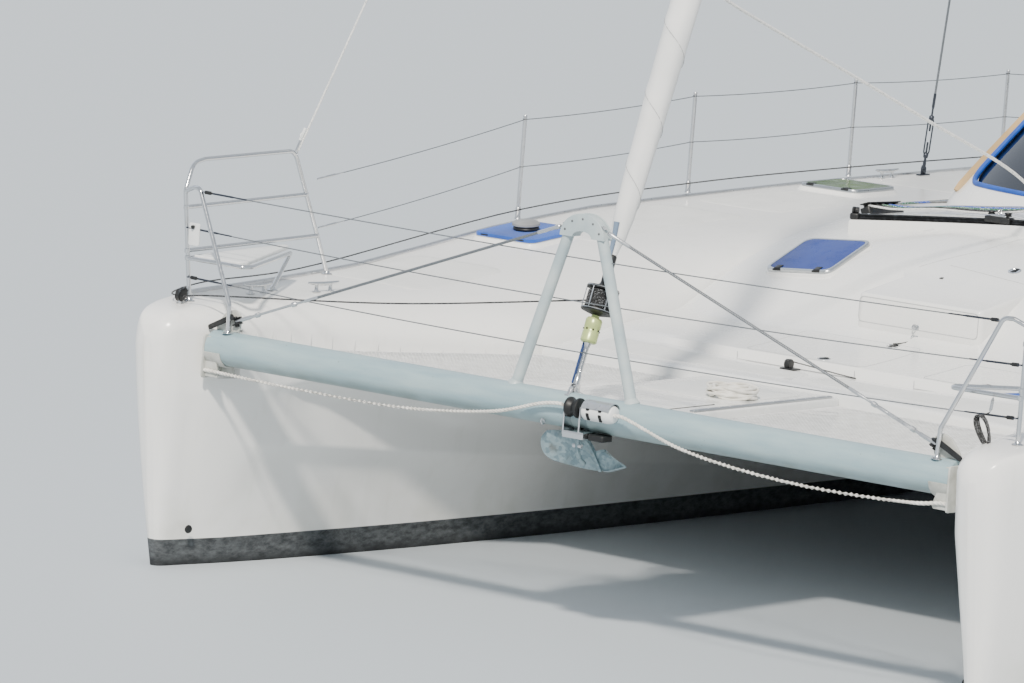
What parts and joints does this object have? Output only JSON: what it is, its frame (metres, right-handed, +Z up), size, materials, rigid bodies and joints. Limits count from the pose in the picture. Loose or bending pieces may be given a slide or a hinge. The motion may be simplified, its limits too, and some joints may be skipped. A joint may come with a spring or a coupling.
{
  "type": "sailing catamaran",
  "caption": "Cruising sailing catamaran with two hulls, a bridge deck cabin, furled jib, braced forward crossbeam, bow nets, twin helms, rudders and propellers.",
  "frame": {"origin": "on the water plane, midway between the hulls and 5.80 m aft of the stems", "axes": "+X towards the bows, +Y to port, +Z up"},
  "size_m": [11.55, 6.66, 18.7],
  "materials": {
    "gelcoat": "white gelcoat, polished, slightly weathered",
    "antifouling": "matt charcoal antifouling paint",
    "beam_paint": "blue-grey paint, satin, lightly mottled",
    "frame_paint": "light blue-grey paint, satin",
    "bracket_paint": "light grey paint over a casting",
    "stainless": "polished stainless steel",
    "spar_aluminium": "satin anodised aluminium",
    "galvanised": "hot-dip galvanised, blue-grey",
    "cast_leg": "painted aluminium casting",
    "bronze": "dull bronze",
    "engine_block": "painted iron block",
    "door_frame": "anodised frame with a large light",
    "black_plastic": "black acetal and anodising, satin",
    "hatch_cover": "blue lens and cover in a light frame",
    "hatch_lens": "deep blue lens in an aluminium frame",
    "tinted_glass": "dark tinted glazing",
    "canvas": "blue acrylic canvas",
    "sailcloth": "white sailcloth, wrapped",
    "netting": "white knotted polyester mesh",
    "rope": "off-white laid rope",
    "upholstery": "light vinyl"
  },
  "bodies": {
    "boat": {"bridge_deck": "gelcoat", "coachroof": "gelcoat", "saloon_dinette": "upholstery", "cockpit_hardtop": "gelcoat", "mast": "spar_aluminium", "forestay": "stainless", "crossbeam": "beam_paint", "striker_frame": "frame_paint", "catwalk": "gelcoat", "anchor_roller": "stainless", "anchor": "galvanised", "jib_track": "black_plastic", "line_coil": "rope", "hull_port": "gelcoat", "hull_starboard": "gelcoat", "saildrive_port": "cast_leg", "saildrive_starboard": "cast_leg", "engine_port": "engine_block", "engine_starboard": "engine_block", "front_pane_port": "tinted_glass", "front_pane_starboard": "tinted_glass", "side_pane_port": "tinted_glass", "side_pane_starboard": "tinted_glass", "cockpit_cushion_port": "upholstery", "cockpit_cushion_starboard": "upholstery", "helm_console_port": "gelcoat", "helm_console_starboard": "gelcoat", "shroud_port": "stainless", "shroud_starboard": "stainless", "beam_bracket_port": "bracket_paint", "beam_bracket_starboard": "bracket_paint", "striker_stay_port": "stainless", "striker_stay_starboard": "stainless", "pulpit_port": "stainless", "pulpit_starboard": "stainless", "bow_net_port": "netting", "bow_net_starboard": "netting", "toe_rail_port": "black_plastic", "toe_rail_starboard": "black_plastic", "bridle_port": "rope", "bridle_starboard": "rope"},
    "boom": {"boom": "spar_aluminium", "mainsail_bag": "canvas"},
    "furler": {"furler_drum": "black_plastic", "furled_jib": "sailcloth"},
    "saloon_door": {"saloon_door": "door_frame"},
    "helm_wheel_port": {"helm_wheel_port": "stainless"},
    "rudder_port": {"rudder_port": "antifouling"},
    "propeller_port": {"propeller_port": "bronze"},
    "engine_lid_port": {"engine_lid_port": "gelcoat"},
    "hatch_forward_port": {"hatch_forward_port": "hatch_cover"},
    "hatch_middle_port": {"hatch_middle_port": "hatch_lens"},
    "hatch_saloon_port": {"hatch_saloon_port": "hatch_lens"},
    "helm_wheel_starboard": {"helm_wheel_starboard": "stainless"},
    "rudder_starboard": {"rudder_starboard": "antifouling"},
    "propeller_starboard": {"propeller_starboard": "bronze"},
    "engine_lid_starboard": {"engine_lid_starboard": "gelcoat"},
    "hatch_forward_starboard": {"hatch_forward_starboard": "hatch_cover"},
    "hatch_middle_starboard": {"hatch_middle_starboard": "hatch_lens"},
    "hatch_saloon_starboard": {"hatch_saloon_starboard": "hatch_lens"}
  },
  "joints": [
    {"name": "boom_swing", "type": "hinge", "parent": "boat", "child": "boom", "pos_m": [0.56, 0, 3.62], "axis": [0, 0, 1], "range_deg": [-40, 40]},
    {"name": "furler_turn", "type": "hinge", "parent": "boat", "child": "furler", "pos_m": [5.44, 0, 1.35], "axis": [-0.3332, 0, 0.9429], "continuous": true},
    {"name": "saloon_door_swing", "type": "hinge", "parent": "boat", "child": "saloon_door", "pos_m": [-3.36, 0.3994, 2], "axis": [0, 0, 1], "range_deg": [-100, 0]},
    {"name": "helm_turn_port", "type": "hinge", "parent": "boat", "child": "helm_wheel_port", "pos_m": [-4.092, 2.33, 2.42], "axis": [1, 0, 0], "range_deg": [-300, 300]},
    {"name": "rudder_turn_port", "type": "hinge", "parent": "boat", "child": "rudder_port", "pos_m": [-5.3, 2.72, -0.6], "axis": [0, 0, 1], "range_deg": [-35, 35]},
    {"name": "propeller_spin_port", "type": "hinge", "parent": "boat", "child": "propeller_port", "pos_m": [-4.645, 2.72, -0.8], "axis": [1, 0, 0], "continuous": true},
    {"name": "engine_lid_port_lift", "type": "hinge", "parent": "boat", "child": "engine_lid_port", "pos_m": [-4.715, 3.01, 1.2503], "axis": [-1, 0, 0], "range_deg": [0, 85]},
    {"name": "hatch_forward_port_lift", "type": "hinge", "parent": "boat", "child": "hatch_forward_port", "pos_m": [2.5005, 2.78, 1.6799], "axis": [0, 1, 0], "range_deg": [0, 85]},
    {"name": "hatch_middle_port_lift", "type": "hinge", "parent": "boat", "child": "hatch_middle_port", "pos_m": [-0.8296, 2.79, 1.8578], "axis": [0, 1, 0], "range_deg": [0, 85]},
    {"name": "hatch_saloon_port_lift", "type": "hinge", "parent": "boat", "child": "hatch_saloon_port", "pos_m": [1.8858, 1.14485, 1.6517], "axis": [0, 0.9961, -0.0885], "range_deg": [0, 85]},
    {"name": "helm_turn_starboard", "type": "hinge", "parent": "boat", "child": "helm_wheel_starboard", "pos_m": [-4.092, -2.33, 2.42], "axis": [1, 0, 0], "range_deg": [-300, 300]},
    {"name": "rudder_turn_starboard", "type": "hinge", "parent": "boat", "child": "rudder_starboard", "pos_m": [-5.3, -2.72, -0.6], "axis": [0, 0, 1], "range_deg": [-35, 35]},
    {"name": "propeller_spin_starboard", "type": "hinge", "parent": "boat", "child": "propeller_starboard", "pos_m": [-4.645, -2.72, -0.8], "axis": [1, 0, 0], "continuous": true},
    {"name": "engine_lid_starboard_lift", "type": "hinge", "parent": "boat", "child": "engine_lid_starboard", "pos_m": [-4.715, -3.01, 1.2503], "axis": [1, 0, 0], "range_deg": [0, 85]},
    {"name": "hatch_forward_starboard_lift", "type": "hinge", "parent": "boat", "child": "hatch_forward_starboard", "pos_m": [2.5005, -2.78, 1.6799], "axis": [0, 1, 0], "range_deg": [0, 85]},
    {"name": "hatch_middle_starboard_lift", "type": "hinge", "parent": "boat", "child": "hatch_middle_starboard", "pos_m": [-0.8296, -2.79, 1.8578], "axis": [0, 1, 0], "range_deg": [0, 85]},
    {"name": "hatch_saloon_starboard_lift", "type": "hinge", "parent": "boat", "child": "hatch_saloon_starboard", "pos_m": [1.8858, -1.14485, 1.6517], "axis": [0, 0.9961, 0.0885], "range_deg": [0, 85]}
  ],
  "couplings": [
    {"joint": "helm_turn_starboard", "follows": "helm_turn_port", "ratio": 1},
    {"joint": "rudder_turn_port", "follows": "helm_turn_port", "ratio": 0.1166},
    {"joint": "rudder_turn_starboard", "follows": "helm_turn_port", "ratio": 0.1166}
  ]
}
